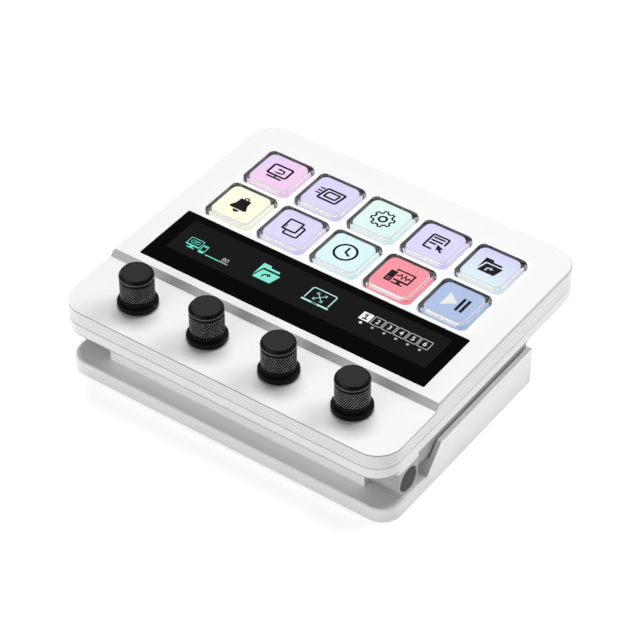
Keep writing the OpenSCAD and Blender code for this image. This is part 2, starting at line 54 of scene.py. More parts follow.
print("stage: camera")
cameraSetup = {
    "place": (0.386283, -0.544447, 0.607130),
    "turn": (0.868306460, 0.391230643, 0.125577060, 0.277872051),
    "lens": 150.7637,
    "sensor": 36,
    "shift": (-0.5/630, 0.5/630),  # half a pixel
    "clip": (0.05, 20),
}
cameraData = bpy.data.cameras.new("studioCamera")
cameraData.sensor_width = cameraSetup["sensor"]
cameraData.lens = cameraSetup["lens"]
cameraData.shift_x, cameraData.shift_y = cameraSetup["shift"]
cameraData.clip_start, cameraData.clip_end = cameraSetup["clip"]
camera = addObject("studioCamera", cameraData)
camera.location = cameraSetup["place"]
camera.rotation_mode = "QUATERNION"
camera.rotation_quaternion = Quaternion(cameraSetup["turn"])
scene.camera = camera
scene.view_settings.view_transform = "Standard"


def addNode(tree, kind, at=(0, 0), inputs=None, **settings):
    node = tree.nodes.new(kind)
    node.location = at
    for key, value in settings.items():
        setattr(node, key, value)
    for key, value in (inputs or {}).items():
        node.inputs[key].default_value = value
    return node


def newMaterial(name, **settings):
    material = bpy.data.materials.new(name)
    material.use_nodes = True
    tree = material.node_tree
    tree.nodes.clear()
    out = addNode(tree, "ShaderNodeOutputMaterial", (600, 0))
    shader = addNode(tree, "ShaderNodeBsdfPrincipled", (300, 0))
    tree.links.new(shader.outputs[0], out.inputs[0])
    for key, value in settings.items():
        shader.inputs[key.replace("_", " ")].default_value = value
    return material, tree, shader


def principled(tree):
    return next(n for n in tree.nodes if n.type == "BSDF_PRINCIPLED")


# A Mix node has sockets for every data type: these are the ones of its own type, factor first
def liveSockets(sockets):
    return [s for s in sockets if s.enabled]


def newGroup(name, inputs, outputs):
    group = bpy.data.node_groups.new(name, "ShaderNodeTree")
    for label, kind, value in inputs:
        socket = group.interface.new_socket(label, in_out="INPUT", socket_type="NodeSocket" + kind)
        socket.default_value = value
    for label, kind in outputs:
        group.interface.new_socket(label, in_out="OUTPUT", socket_type="NodeSocket" + kind)
    start = addNode(group, "NodeGroupInput", (-900, 0))
    end = addNode(group, "NodeGroupOutput", (900, 0))
    return group, start, end


def placeGroup(tree, group, values, at=(0, 0)):
    node = addNode(tree, "ShaderNodeGroup", at, node_tree=group)
    for key, value in values.items():
        node.inputs[key].default_value = (*value, 1) if isinstance(value, tuple) and len(value) == 3 else value
    return node


# Moulded plastic, rubber and cast surfaces: soft colour drift, uneven gloss and a fine grain
def mouldedGroup():
    group, start, end = newGroup("mouldedSurface", [
        ("Color", "Color", (0.8, 0.8, 0.8, 1)), ("Shade", "Color", (0.7, 0.7, 0.7, 1)),
        ("Roughness", "Float", 0.4), ("Roughness Drift", "Float", 0.1),
        ("Grain Scale", "Float", 2500.0), ("Grain", "Float", 0.1)],
        [("Color", "Color"), ("Roughness", "Float"), ("Normal", "Vector")])
    links = group.links
    place = addNode(group, "ShaderNodeTexCoord", (-600, -300))
    drift = addNode(group, "ShaderNodeTexNoise", (-300, 200), {"Scale": 22.0, "Detail": 4.0, "Roughness": 0.6})
    grain = addNode(group, "ShaderNodeTexNoise", (-300, -200), {"Detail": 3.0, "Roughness": 0.55})
    mix = addNode(group, "ShaderNodeMix", (0, 200), data_type="RGBA")
    spread = addNode(group, "ShaderNodeMapRange", (0, -50),
                     {"From Min": 0.3, "From Max": 0.7, "To Min": -0.5, "To Max": 0.5})
    gloss = addNode(group, "ShaderNodeMath", (200, -50), operation="MULTIPLY_ADD")
    bump = addNode(group, "ShaderNodeBump", (200, -300), {"Distance": 0.00002})
    for texture in (drift, grain):
        links.new(place.outputs["Object"], texture.inputs["Vector"])
    links.new(start.outputs["Grain Scale"], grain.inputs["Scale"])
    links.new(drift.outputs["Fac"], mix.inputs["Factor"])
    links.new(start.outputs["Color"], mix.inputs["A"])
    links.new(start.outputs["Shade"], mix.inputs["B"])
    links.new(drift.outputs["Fac"], spread.inputs["Value"])
    links.new(spread.outputs["Result"], gloss.inputs[0])
    links.new(start.outputs["Roughness Drift"], gloss.inputs[1])
    links.new(start.outputs["Roughness"], gloss.inputs[2])
    links.new(grain.outputs["Fac"], bump.inputs["Height"])
    links.new(start.outputs["Grain"], bump.inputs["Strength"])
    links.new(mix.outputs["Result"], end.inputs["Color"])
    links.new(gloss.outputs[0], end.inputs["Roughness"])
    links.new(bump.outputs["Normal"], end.inputs["Normal"])
    return group


moulded = mouldedGroup()


def mouldedMaterial(name, color, shade, roughness, drift=0.06, scale=2500.0, grain=0.1, **settings):
    material, tree, shader = newMaterial(name, **settings)
    look = placeGroup(tree, moulded, {"Color": color, "Shade": shade, "Roughness": roughness,
                                      "Roughness Drift": drift, "Grain Scale": scale, "Grain": grain})
    tree.links.new(look.outputs["Color"], shader.inputs["Base Color"])
    tree.links.new(look.outputs["Roughness"], shader.inputs["Roughness"])
    tree.links.new(look.outputs["Normal"], shader.inputs["Normal"])
    return material


# Two finishes of one turned or printed surface, told apart by a mask that is 1 where the second shows
def blendFinish(material, mask, color, roughness):
    tree = material.node_tree
    shader = principled(tree)
    for label, value, kind in (("Base Color", (*color, 1), "RGBA"), ("Roughness", roughness, "FLOAT")):
        mix = addNode(tree, "ShaderNodeMix", (100, 300), data_type=kind)
        factor, first, second = liveSockets(mix.inputs)
        tree.links.new(mask, factor)
        tree.links.new(shader.inputs[label].links[0].from_socket, first)
        second.default_value = value
        tree.links.new(liveSockets(mix.outputs)[0], shader.inputs[label])


# Mask that is 1 where both masks are
def joined(tree, first, second):
    node = addNode(tree, "ShaderNodeMath", (-300, 500), operation="MULTIPLY")
    tree.links.new(first, node.inputs[0])
    tree.links.new(second, node.inputs[1])
    return node.outputs[0]


# Mask that is 1 while a value lies between two limits, with soft ends outside them
def between(tree, value, low, high, soft):
    up = addNode(tree, "ShaderNodeMapRange", (-500, 600), {"From Min": low - soft, "From Max": low})
    down = addNode(tree, "ShaderNodeMapRange", (-500, 400), {"From Min": high, "From Max": high + soft,
                                                             "To Min": 1.0, "To Max": 0.0})
    tree.links.new(value, up.inputs["Value"])
    tree.links.new(value, down.inputs["Value"])
    return joined(tree, up.outputs["Result"], down.outputs["Result"])


# X, Y and Z of a place or normal on the piece
def axesOf(tree, source="Object"):
    place = addNode(tree, "ShaderNodeTexCoord", (-900, 500))
    parts = addNode(tree, "ShaderNodeSeparateXYZ", (-700, 500))
    tree.links.new(place.outputs[source], parts.inputs[0])
    return parts.outputs


def paint(material, *names):
    for name in names:
        slots = nodes[name].data.materials
        slots.clear()
        slots.append(material)


print("stage: materials")
# Nodes of one plain finish: its name, colour, shade, roughness and nodes, then what differs from the defaults
plainFinishes = [
    ("standWhite", (0.93, 0.93, 0.925), (0.915, 0.915, 0.91), 0.4, ["stand_shell"], {"grain": 0.12}),
    ("coverWhite", (0.70, 0.70, 0.69), (0.66, 0.66, 0.65), 0.5, ["stand_cover"], {"grain": 0.3}),
    ("darkRubber", (0.03, 0.03, 0.03), (0.045, 0.045, 0.045), 0.75, ["rubber_feet", "rest_pads"], {"grain": 0.4}),
    ("capGrey", (0.020, 0.0195, 0.016), (0.025, 0.0245, 0.020), 0.55, ["hinge_caps"],
     {"grain": 0.3, "Specular_IOR_Level": 0.25}),
    ("zincSteel", (0.55, 0.56, 0.58), (0.5, 0.51, 0.52), 0.32,
     ["stand_weight", "stand_screws", "hinge_pins", "case_screws", "usb_socket", "encoders", "encoder_nuts",
      "board_screws", *(f"shaft_{n}" for n in range(1, 5))], {"grain": 0.1, "Metallic": 1.0}),
    ("brassWasher", (0.72, 0.55, 0.25), (0.65, 0.5, 0.22), 0.3, ["friction_washers"], {"Metallic": 1.0}),
    ("frameGrey", (0.22, 0.22, 0.222), (0.25, 0.25, 0.253), 0.5, ["key_frame"], {}),
    ("silicone", (0.30, 0.30, 0.305), (0.26, 0.26, 0.265), 0.6, ["key_springs"], {}),
    ("boardGreen", (0.02, 0.11, 0.05), (0.025, 0.13, 0.06), 0.3, ["main_board", "knob_board"], {"scale": 900.0}),
    ("ivory", (0.75, 0.73, 0.66), (0.7, 0.68, 0.6), 0.5, [f"plunger_{n}" for n in range(1, 5)], {}),
    ("displayBlack", (0.01, 0.01, 0.011), (0.014, 0.014, 0.015), 0.3, ["strip_display", "key_display"], {}),
]
for name, color, shade, roughness, painted, extra in plainFinishes:
    paint(mouldedMaterial(name, color, shade, roughness, **extra), *painted)

# Deck: its step and rounded edges carry painted shade, a greyer colour where the surface tilts away from the light,
# and a darker painted shade line runs along the front edge of its ledge.
# Heights and depths are in millimetres, and tilts are the Z of the normal.
deckSetup = {
    "color": (0.77, 0.77, 0.768), "shade": (0.755, 0.755, 0.752), "roughness": 0.36,
    "tilt": (0.35, 0.85), "tiltSoft": 0.12, "tiltShadeColor": (0.48, 0.485, 0.49),
    "lineHeight": (31.4, 32.0), "lineDepth": (-80, -30.4), "lineSoft": 0.1,
    "lineTilt": (-0.3, 0.5), "lineTiltSoft": 0.1, "lineShadeColor": (0.30, 0.303, 0.306),
}
deckWhite = mouldedMaterial("deckWhite", deckSetup["color"], deckSetup["shade"], deckSetup["roughness"], grain=0.12)
tree = deckWhite.node_tree
where, facing = axesOf(tree), axesOf(tree, "Normal")
lineSoft = deckSetup["lineSoft"]*mm
# painted shade: a dark line along the front edge of the ledge
ledgeShadeLine = joined(tree, between(tree, where[2], *(v*mm for v in deckSetup["lineHeight"]), lineSoft),
                   between(tree, where[1], *(v*mm for v in deckSetup["lineDepth"]), lineSoft))
ledgeShadeLine = joined(tree, ledgeShadeLine, between(tree, facing[2], *deckSetup["lineTilt"], deckSetup["lineTiltSoft"]))
# painted shade on the step and rounded edges, where they tilt away from the light
slopeShadeMask = between(tree, facing[2], *deckSetup["tilt"], deckSetup["tiltSoft"])
blendFinish(deckWhite, slopeShadeMask, deckSetup["tiltShadeColor"], deckSetup["roughness"])
blendFinish(deckWhite, ledgeShadeLine, deckSetup["lineShadeColor"], deckSetup["roughness"])
paint(deckWhite, "top_shell")

# Belly: as bright as the deck from its rim upwards; below the rim its grey colour is painted shade, darkest where it
# faces down
bellySetup = {
    "color": (0.38, 0.38, 0.378), "shade": (0.37, 0.37, 0.368), "roughness": 0.42,
    "rim": (20.2, 60), "rimSoft": 0.1, "rimColor": (0.82, 0.82, 0.815), "rimRoughness": 0.36,
    "under": (-2, -0.3), "underSoft": 0.2, "underShadeColor": (0.26, 0.26, 0.258),
}
# the base colour below the rim is painted shade, not the plastic's own colour
bellyWithPaintedShade = mouldedMaterial("bellyWithPaintedShade", bellySetup["color"], bellySetup["shade"], bellySetup["roughness"],
                             grain=0.12)
tree = bellyWithPaintedShade.node_tree
blendFinish(bellyWithPaintedShade, between(tree, axesOf(tree)[2], *(v*mm for v in bellySetup["rim"]), bellySetup["rimSoft"]*mm),
            bellySetup["rimColor"], bellySetup["rimRoughness"])
# painted shade where the surface faces down
blendFinish(bellyWithPaintedShade, between(tree, axesOf(tree, "Normal")[2], *bellySetup["under"], bellySetup["underSoft"]),
            bellySetup["underShadeColor"], bellySetup["roughness"])
paint(bellyWithPaintedShade, "bottom_shell")

# Clear caps, polished with a trace of unevenness
capSetup = {"Roughness": 0.015, "Roughness Drift": 0.02, "Grain Scale": 900.0, "Grain": 0.02}
capClear, tree, shader = newMaterial("capClear", IOR=1.49, Transmission_Weight=1.0, Base_Color=(1, 1, 1, 1))
look = placeGroup(tree, moulded, capSetup)
tree.links.new(look.outputs["Roughness"], shader.inputs["Roughness"])
tree.links.new(look.outputs["Normal"], shader.inputs["Normal"])
for n in range(1, 11):
    paint(capClear, f"keycap_{n}")
    nodes[f"keycap_{n}"].visible_shadow = False  # light goes on through the clear cap

# Touch strip: black printed glass with the lit field showing as a dark grey rectangle
stripSetup = {"fieldLow": (-52.4, -17.2), "fieldHigh": (52.7, -0.9), "fieldColor": (0.0085, 0.0085, 0.009),
              "fieldRoughness": 0.12, "edge": 0.12, "ink": 0.02, "lift": 0.012}
stripGlass = mouldedMaterial("stripGlass", (0.0015, 0.0015, 0.0016), (0.002, 0.002, 0.0021), 0.07, drift=0.03,
                             grain=0.0, Specular_IOR_Level=0.1)
tree = stripGlass.node_tree
where = axesOf(tree)
field = [between(tree, where[k], stripSetup["fieldLow"][k]*mm, stripSetup["fieldHigh"][k]*mm, stripSetup["edge"]*mm)
         for k in (0, 1)]
blendFinish(stripGlass, joined(tree, *field), stripSetup["fieldColor"], stripSetup["fieldRoughness"])
paint(stripGlass, "strip_glass")


# Radius and height over the ledge on the nearest of the four knobs
def knobPlaceGroup(pitch, axisY, ledge):
    group, start, end = newGroup("knobPlace", [], [("Radius", "Float"), ("Height", "Float")])
    links = group.links
    place = addNode(group, "ShaderNodeTexCoord", (-800, 0))
    parts = addNode(group, "ShaderNodeSeparateXYZ", (-600, 0))
    x = addNode(group, "ShaderNodeMath", (-400, 200), {1: -pitch/2, 2: pitch/2}, operation="WRAP")
    shift = addNode(group, "ShaderNodeMath", (-500, 300), {1: pitch/2}, operation="ADD")
    y = addNode(group, "ShaderNodeMath", (-400, 0), {1: axisY}, operation="SUBTRACT")
    z = addNode(group, "ShaderNodeMath", (-400, -200), {1: ledge}, operation="SUBTRACT")
    flat = addNode(group, "ShaderNodeCombineXYZ", (-200, 100))
    length = addNode(group, "ShaderNodeVectorMath", (0, 100), operation="LENGTH")
    links.new(place.outputs["Object"], parts.inputs[0])
    links.new(parts.outputs[0], shift.inputs[0])
    links.new(shift.outputs[0], x.inputs[0])
    links.new(parts.outputs[1], y.inputs[0])
    links.new(parts.outputs[2], z.inputs[0])
    links.new(x.outputs[0], flat.inputs[0])
    links.new(y.outputs[0], flat.inputs[1])
    links.new(flat.outputs[0], length.inputs[0])
    links.new(length.outputs["Value"], end.inputs["Radius"])
    links.new(z.outputs[0], end.inputs["Height"])
    return group


# Knobs: black anodised and the flat top a matt grey; the points of the knurl are bare metal painted lighter and the
# turned edges are painted lighter, both as painted highlights.
# Each finish has the lowest and highest radius and height over the ledge where it lies, and how softly it ends there,
# in millimetres.
knobSetup = {
    "pitch": 28.8, "axisY": -44.2, "ledge": 31.9,
    "finishes": [
        {"name": "top", "color": (0.022, 0.022, 0.022), "roughness": 0.6,
         "Radius": (-1, 4.9, 0.04), "Height": (13.4, 20, 0.04)},
        {"name": "rim", "color": (0.012, 0.012, 0.012), "roughness": 0.2,
         "Radius": (6.4, 9, 0.1), "Height": (1.85, 2.3, 0.1)},
        {"name": "points", "color": (0.42, 0.42, 0.43), "roughness": 0.22,
         "Radius": (5.87, 7, 0.06), "Height": (4.55, 11.4, 0.04)},
        {"name": "ring", "color": (0.17, 0.17, 0.17), "roughness": 0.3, "Height": (12.36, 12.56, 0.04)},
    ],
}
knobPlace = knobPlaceGroup(*(knobSetup[k]*mm for k in ("pitch", "axisY", "ledge")))
knobBlack = mouldedMaterial("knobBlack", (0.004, 0.004, 0.0042), (0.006, 0.006, 0.0062), 0.34, drift=0.08, grain=0.05,
                            Specular_IOR_Level=0.07)
tree = knobBlack.node_tree
where = placeGroup(tree, knobPlace, {}, (-700, 600)).outputs
for finish in knobSetup["finishes"]:
    bands = [between(tree, where[way], *(v*mm for v in finish[way])) for way in ("Radius", "Height") if way in finish]
    mask = joined(tree, *bands) if len(bands) == 2 else bands[0]
    # rim, points and ring are painted highlights; the points also reflect the lamps as bare metal
    blendFinish(knobBlack, mask, finish["color"], finish["roughness"])
    if finish["name"] == "points":  # bare metal
        tree.links.new(mask, principled(tree).inputs["Metallic"])
paint(knobBlack, *(f"knob_{n}" for n in range(1, 5)))


# The flat pictures are drawn in millimetres. This draws the corners of a line round, in equal small steps.
def roundedPath(points, radius, closed=True, steps=6):
    path = []
    count = len(points)
    for k, point in enumerate(points):
        if not closed and k in (0, count - 1):
            path.append(point)
            continue
        corner = Vector(point)
        before, after = Vector(points[k - 1]), Vector(points[(k + 1) % count])
        start = corner + (before - corner).normalized()*radius
        finish = corner + (after - corner).normalized()*radius
        for s in range(steps + 1):
            t = s/steps
            path.append(tuple(start*(1 - t)**2 + corner*2*t*(1 - t) + finish*t**2))
    return path


# The path moved sideways; a sharp corner is cut off at twice the offset
def sidePoints(path, offset, closed):
    side = []
    count = len(path)
    shortest, bluntest = 1e-6, 0.5
    for k in range(count):
        here = Vector(path[k])
        before = here - Vector(path[k - 1]) if closed or k > 0 else None
        after = Vector(path[(k + 1) % count]) - here if closed or k < count - 1 else None
        ways = [Vector((-w.y, w.x)).normalized() for w in (before, after) if w is not None and w.length > shortest]
        normal = sum(ways, Vector((0, 0))).normalized()
        side.append(tuple(here + normal*offset/max(bluntest, normal.dot(ways[0]))))
    return side


# Line of even width as one or two closed outlines, with round ends where it is open
def stroke(path, width, closed=False, endSteps=6):
    left, right = sidePoints(path, width/2, closed), sidePoints(path, -width/2, closed)
    if closed:
        return [left, right]
    ends = []
    for tip, past in ((path[-1], path[-2]), (path[0], path[1])):
        way = (Vector(tip) - Vector(past)).normalized()
        side = Vector((-way.y, way.x))
        ends.append([tuple(Vector(tip) + (side*math.cos(a) + way*math.sin(a))*width/2)
                     for a in (math.pi*s/endSteps for s in range(1, endSteps))])
    return [left + ends[0] + right[::-1] + ends[1]]


def circlePath(centre, radius, steps=40):
    return [(centre[0] + radius*math.cos(math.tau*s/steps), centre[1] + radius*math.sin(math.tau*s/steps))
            for s in range(steps)]


def boxPath(low, high):
    return [(low[0], low[1]), (high[0], low[1]), (high[0], high[1]), (low[0], high[1])]


def boxLine(low, high, corner, width):
    return stroke(roundedPath(boxPath(low, high), corner), width, True)


def bentLine(points, corner, width):
    return stroke(roundedPath(points, corner, False), width)


def arcPath(centre, radius, fromDeg, toDeg, steps=16):
    turns = [math.radians(fromDeg + (toDeg - fromDeg)*s/steps) for s in range(steps + 1)]
    return [(centre[0] + radius*math.cos(a), centre[1] + radius*math.sin(a)) for a in turns]


def curveMesh(curve):
    holder = addObject("holder", curve)
    bpy.context.view_layer.update()
    mesh = bpy.data.meshes.new_from_object(holder.evaluated_get(bpy.context.evaluated_depsgraph_get()))
    bpy.data.objects.remove(holder)
    bpy.data.curves.remove(curve)
    return mesh


# Thin closed plate from outlines; an outline inside another is a hole
def plateMesh(outlines, thickness):
    curve = bpy.data.curves.new("plate", "CURVE")
    curve.dimensions = "2D"
    curve.fill_mode = "BOTH"
    curve.extrude = thickness/2
    for outline in outlines:
        line = curve.splines.new("POLY")
        line.points.add(len(outline) - 1)
        for k, (x, y) in enumerate(outline):
            line.points[k].co = (x, y, 0, 1)
        line.use_cyclic_u = True
    return curveMesh(curve)


def numberMesh(text, size, middle, thickness):
    curve = bpy.data.curves.new("number", "FONT")
    curve.body = text
    curve.size = size
    curve.extrude = thickness/2
    curve.align_x = "CENTER"
    curve.align_y = "CENTER"
    mesh = curveMesh(curve)
    mesh.transform(Matrix.Translation((*middle, 0)))
    return mesh


# One piece from several plates, put at a place given in millimetres
def makePicture(name, plates, place, material, body, weld=0.0005):
    bm = bmesh.new()
    for plate in plates:
        bm.from_mesh(plate)
        bpy.data.meshes.remove(plate)
    bmesh.ops.remove_doubles(bm, verts=bm.verts, dist=weld)
    bmesh.ops.transform(bm, verts=bm.verts, matrix=Matrix.Scale(mm, 4) @ Matrix.Translation(place))
    mesh = bpy.data.meshes.new(name)
    bm.to_mesh(mesh)
    bm.free()
    mesh.materials.append(material)
    picture = addObject(name, mesh)
    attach(picture, body)


# Lit or printed ink of a display, with the faint grid of its dots
def inkGroup():
    group, start, end = newGroup("displayInk", [("Color", "Color", (1, 1, 1, 1)), ("Dots", "Float", 9000.0),
                                                ("Depth", "Float", 0.12)], [("Color", "Color")])
    links = group.links
    place = addNode(group, "ShaderNodeTexCoord", (-800, 0))
    dots = addNode(group, "ShaderNodeTexVoronoi", (-500, 0), {"Randomness": 0.0})
    fade = addNode(group, "ShaderNodeMapRange", (-250, 0), {"From Min": 0.2, "From Max": 0.7})
    depth = addNode(group, "ShaderNodeMath", (-50, 0), operation="MULTIPLY")
    mix = addNode(group, "ShaderNodeMix", (200, 0), data_type="RGBA", blend_type="MULTIPLY")
    factor, lit, shaded = liveSockets(mix.inputs)
    shaded.default_value = (0, 0, 0, 1)
    links.new(place.outputs["Object"], dots.inputs["Vector"])
    links.new(start.outputs["Dots"], dots.inputs["Scale"])
    links.new(dots.outputs["Distance"], fade.inputs["Value"])
    links.new(fade.outputs["Result"], depth.inputs[0])
    links.new(start.outputs["Depth"], depth.inputs[1])
    links.new(depth.outputs[0], factor)
    links.new(start.outputs["Color"], lit)
    links.new(liveSockets(mix.outputs)[0], end.inputs["Color"])
    return group


displayInk = inkGroup()


# Printed ink shows its colour; lit ink is dark itself and glows
def inkMaterial(name, color, glow=0.0):
    material, tree, shader = newMaterial(name, Roughness=0.6, Emission_Strength=glow, Base_Color=(0.02, 0.02, 0.02, 1),
                                         Specular_IOR_Level=0.0)
    ink = placeGroup(tree, displayInk, {"Color": color})
    tree.links.new(ink.outputs["Color"], shader.inputs["Emission Color" if glow else "Base Color"])
    return material


inkDark = inkMaterial("inkDark", (0.009, 0.0085, 0.008))
inkWhite = inkMaterial("inkWhite", (0.95, 0.95, 0.95), 1.0)
inkPale = inkMaterial("inkPale", (0.50, 0.49, 0.48), 1.0)
inkTeal = inkMaterial("inkTeal", (0.16, 0.78, 0.63), 1.0)
inkMint = inkMaterial("inkMint", (0.24, 0.85, 0.70), 1.0)
inkIce = inkMaterial("inkIce", (0.50, 0.90, 0.83), 1.0)


print("stage: key pictures")
lavender, mint, cream, aqua = (0.69, 0.64, 0.94), (0.72, 0.93, 0.87), (0.95, 0.95, 0.74), (0.68, 0.90, 0.92)
pink, coral, blue, sky = (0.91, 0.58, 0.87), (0.93, 0.235, 0.30), (0.37, 0.485, 0.75), (0.69, 0.87, 0.91)
# Front left, front right, rear left and rear right colour of each key's picture
keyColors = [
    (pink, pink, (0.73, 0.62, 0.92), pink), (lavender,)*4, (mint, sky, mint, mint), (lavender,)*4,
    (sky, (0.70, 0.84, 0.90), (0.63, 0.61, 0.90), (0.63, 0.62, 0.90)), (cream,)*4, (lavender,)*4,
    (aqua,)*4, (coral,)*4, (blue, blue, (0.36, 0.48, 0.76), blue),
]
# Sizes in millimetres; the rim's white begins and ends at two depths under the tile's top, each with its own steepness
tileSetup = {
    "side": 15.95, "corner": 2.5, "cornerSteps": 8, "edge": 0.3, "edgeSteps": 2, "roof": 0.47, "floor": 4.4,
    "rimTop": 0.06, "rimFoot": 1.5, "rimSteep": (8000.0, -2500.0), "rimColor": (0.86, 0.86, 0.87),
    "glow": 0.83, "base": (0.08, 0.08, 0.08, 1), "ink": 0.02, "gap": 0.005,
}


# Colour of a tile from its four corners, by its own map, turning to white along its rim
def tileGroup():
    group, start, end = newGroup("tilePicture", [
        ("Front Left", "Color", (1, 1, 1, 1)), ("Front Right", "Color", (1, 1, 1, 1)),
        ("Rear Left", "Color", (1, 1, 1, 1)), ("Rear Right", "Color", (1, 1, 1, 1)), ("Rim", "Color", (1, 1, 1, 1)),
        ("Top", "Float", 0.0), ("Rim Start", "Float", 0.0), ("Rim End", "Float", 0.0)], [("Color", "Color")])
    links = group.links
    place = addNode(group, "ShaderNodeTexCoord", (-800, 0))
    flat = addNode(group, "ShaderNodeSeparateXYZ", (-600, 100))
    solid = addNode(group, "ShaderNodeSeparateXYZ", (-600, -200))
    links.new(place.outputs["UV"], flat.inputs[0])
    links.new(place.outputs["Object"], solid.inputs[0])

    def mixed(factor, a, b, at):
        mix = addNode(group, "ShaderNodeMix", at, data_type="RGBA")
        for socket, source in zip(liveSockets(mix.inputs), (factor, a, b)):
            links.new(source, socket)
        return liveSockets(mix.outputs)[0]

    front = mixed(flat.outputs[0], start.outputs["Front Left"], start.outputs["Front Right"], (-300, 300))
    rear = mixed(flat.outputs[0], start.outputs["Rear Left"], start.outputs["Rear Right"], (-300, 100))
    picture = mixed(flat.outputs[1], front, rear, (-50, 200))
    depth = addNode(group, "ShaderNodeMath", (-300, -200), operation="SUBTRACT")
    links.new(start.outputs["Top"], depth.inputs[0])
    links.new(solid.outputs[2], depth.inputs[1])
    rim = []
    for label, steepness in zip(("Rim Start", "Rim End"), tileSetup["rimSteep"]):
        past = addNode(group, "ShaderNodeMath", (-100, -300), operation="SUBTRACT")
        steep = addNode(group, "ShaderNodeMath", (50, -300), {1: steepness}, operation="MULTIPLY", use_clamp=True)
        links.new(depth.outputs[0], past.inputs[0])
        links.new(start.outputs[label], past.inputs[1])
        links.new(past.outputs[0], steep.inputs[0])
        rim.append(steep.outputs[0])
    links.new(mixed(joined(group, *rim), picture, start.outputs["Rim"], (500, 100)), end.inputs["Color"])
    return group


tilePicture = tileGroup()


# Tile with rounded corners and a map seen from above; gives the place of the pictures on it, in millimetres
def makeTile(n):
    low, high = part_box(f"keycap_{n}")
    middle = (low + high)/2
    top = high.z - tileSetup["roof"]*mm
    height = tileSetup["floor"]*mm - tileSetup["roof"]*mm
    side = tileSetup["side"]*mm
    bm = bmesh.new()
    bmesh.ops.create_cube(bm, size=1)
    bmesh.ops.scale(bm, vec=(side, side, height), verts=bm.verts)
    upright = [e for e in bm.edges if abs(e.verts[0].co.z - e.verts[1].co.z) > height/2]
    bmesh.ops.bevel(bm, geom=upright, offset=tileSetup["corner"]*mm, segments=tileSetup["cornerSteps"], profile=0.5,
                    affect="EDGES", material=-1)
    rim = [e for e in bm.edges if min(v.co.z for v in e.verts) > height*0.49]  # the outline of its top
    bmesh.ops.bevel(bm, geom=rim, offset=tileSetup["edge"]*mm, segments=tileSetup["edgeSteps"], profile=0.5,
                    affect="EDGES", material=-1)
    layer = bm.loops.layers.uv.new("tileMap")
    for face in bm.faces:
        for loop in face.loops:
            loop[layer].uv = (loop.vert.co.x/side + 0.5, loop.vert.co.y/side + 0.5)
    bmesh.ops.translate(bm, vec=(middle.x, middle.y, top - height/2), verts=bm.verts)
    bmesh.ops.recalc_face_normals(bm, faces=bm.faces)
    mesh = bpy.data.meshes.new(f"tile_{n}")
    bm.to_mesh(mesh)
    bm.free()
    material, tree, shader = newMaterial(f"tilePicture_{n}", Roughness=0.5, Emission_Strength=tileSetup["glow"])
    corners = dict(zip(("Front Left", "Front Right", "Rear Left", "Rear Right"), keyColors[n - 1]))
    look = placeGroup(tree, tilePicture, {**corners, "Rim": tileSetup["rimColor"], "Top": top,
                                          "Rim Start": tileSetup["rimTop"]*mm, "Rim End": tileSetup["rimFoot"]*mm})
    dim = addNode(tree, "ShaderNodeMix", (150, -200), data_type="RGBA", blend_type="MULTIPLY")
    factor, picture, darker = liveSockets(dim.inputs)
    factor.default_value = 1.0
    darker.default_value = tileSetup["base"]
    tree.links.new(look.outputs["Color"], picture)
    tree.links.new(liveSockets(dim.outputs)[0], shader.inputs["Base Color"])
    tree.links.new(look.outputs["Color"], shader.inputs["Emission Color"])
    mesh.materials.append(material)
    tile = addObject(f"tile_{n}", mesh)
    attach(tile, f"key_{n}")
    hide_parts(f"picture_tile_{n}")
    return Vector((middle.x/mm, middle.y/mm, top/mm + tileSetup["ink"]/2 + tileSetup["gap"]))


# Parts of a tooth's pitch from its middle to its foot and tip, and the angle of the first tooth
gearSetup = {"centre": (0.3, -0.15), "teeth": 8, "foot": 0.33, "tip": 0.24, "turn": 0.25}


def gearPath(tipRadius, footRadius, slim, corner):
    foot, tip = gearSetup["foot"] - slim, gearSetup["tip"] - slim
    path = []
    for k in range(gearSetup["teeth"]):
        for part, radius in ((-foot, footRadius), (-tip, tipRadius), (tip, tipRadius), (foot, footRadius)):
            a = math.tau*(k + part)/gearSetup["teeth"] + gearSetup["turn"]
            path.append((gearSetup["centre"][0] + radius*math.cos(a), gearSetup["centre"][1] + radius*math.sin(a)))
    return roundedPath(path, corner)


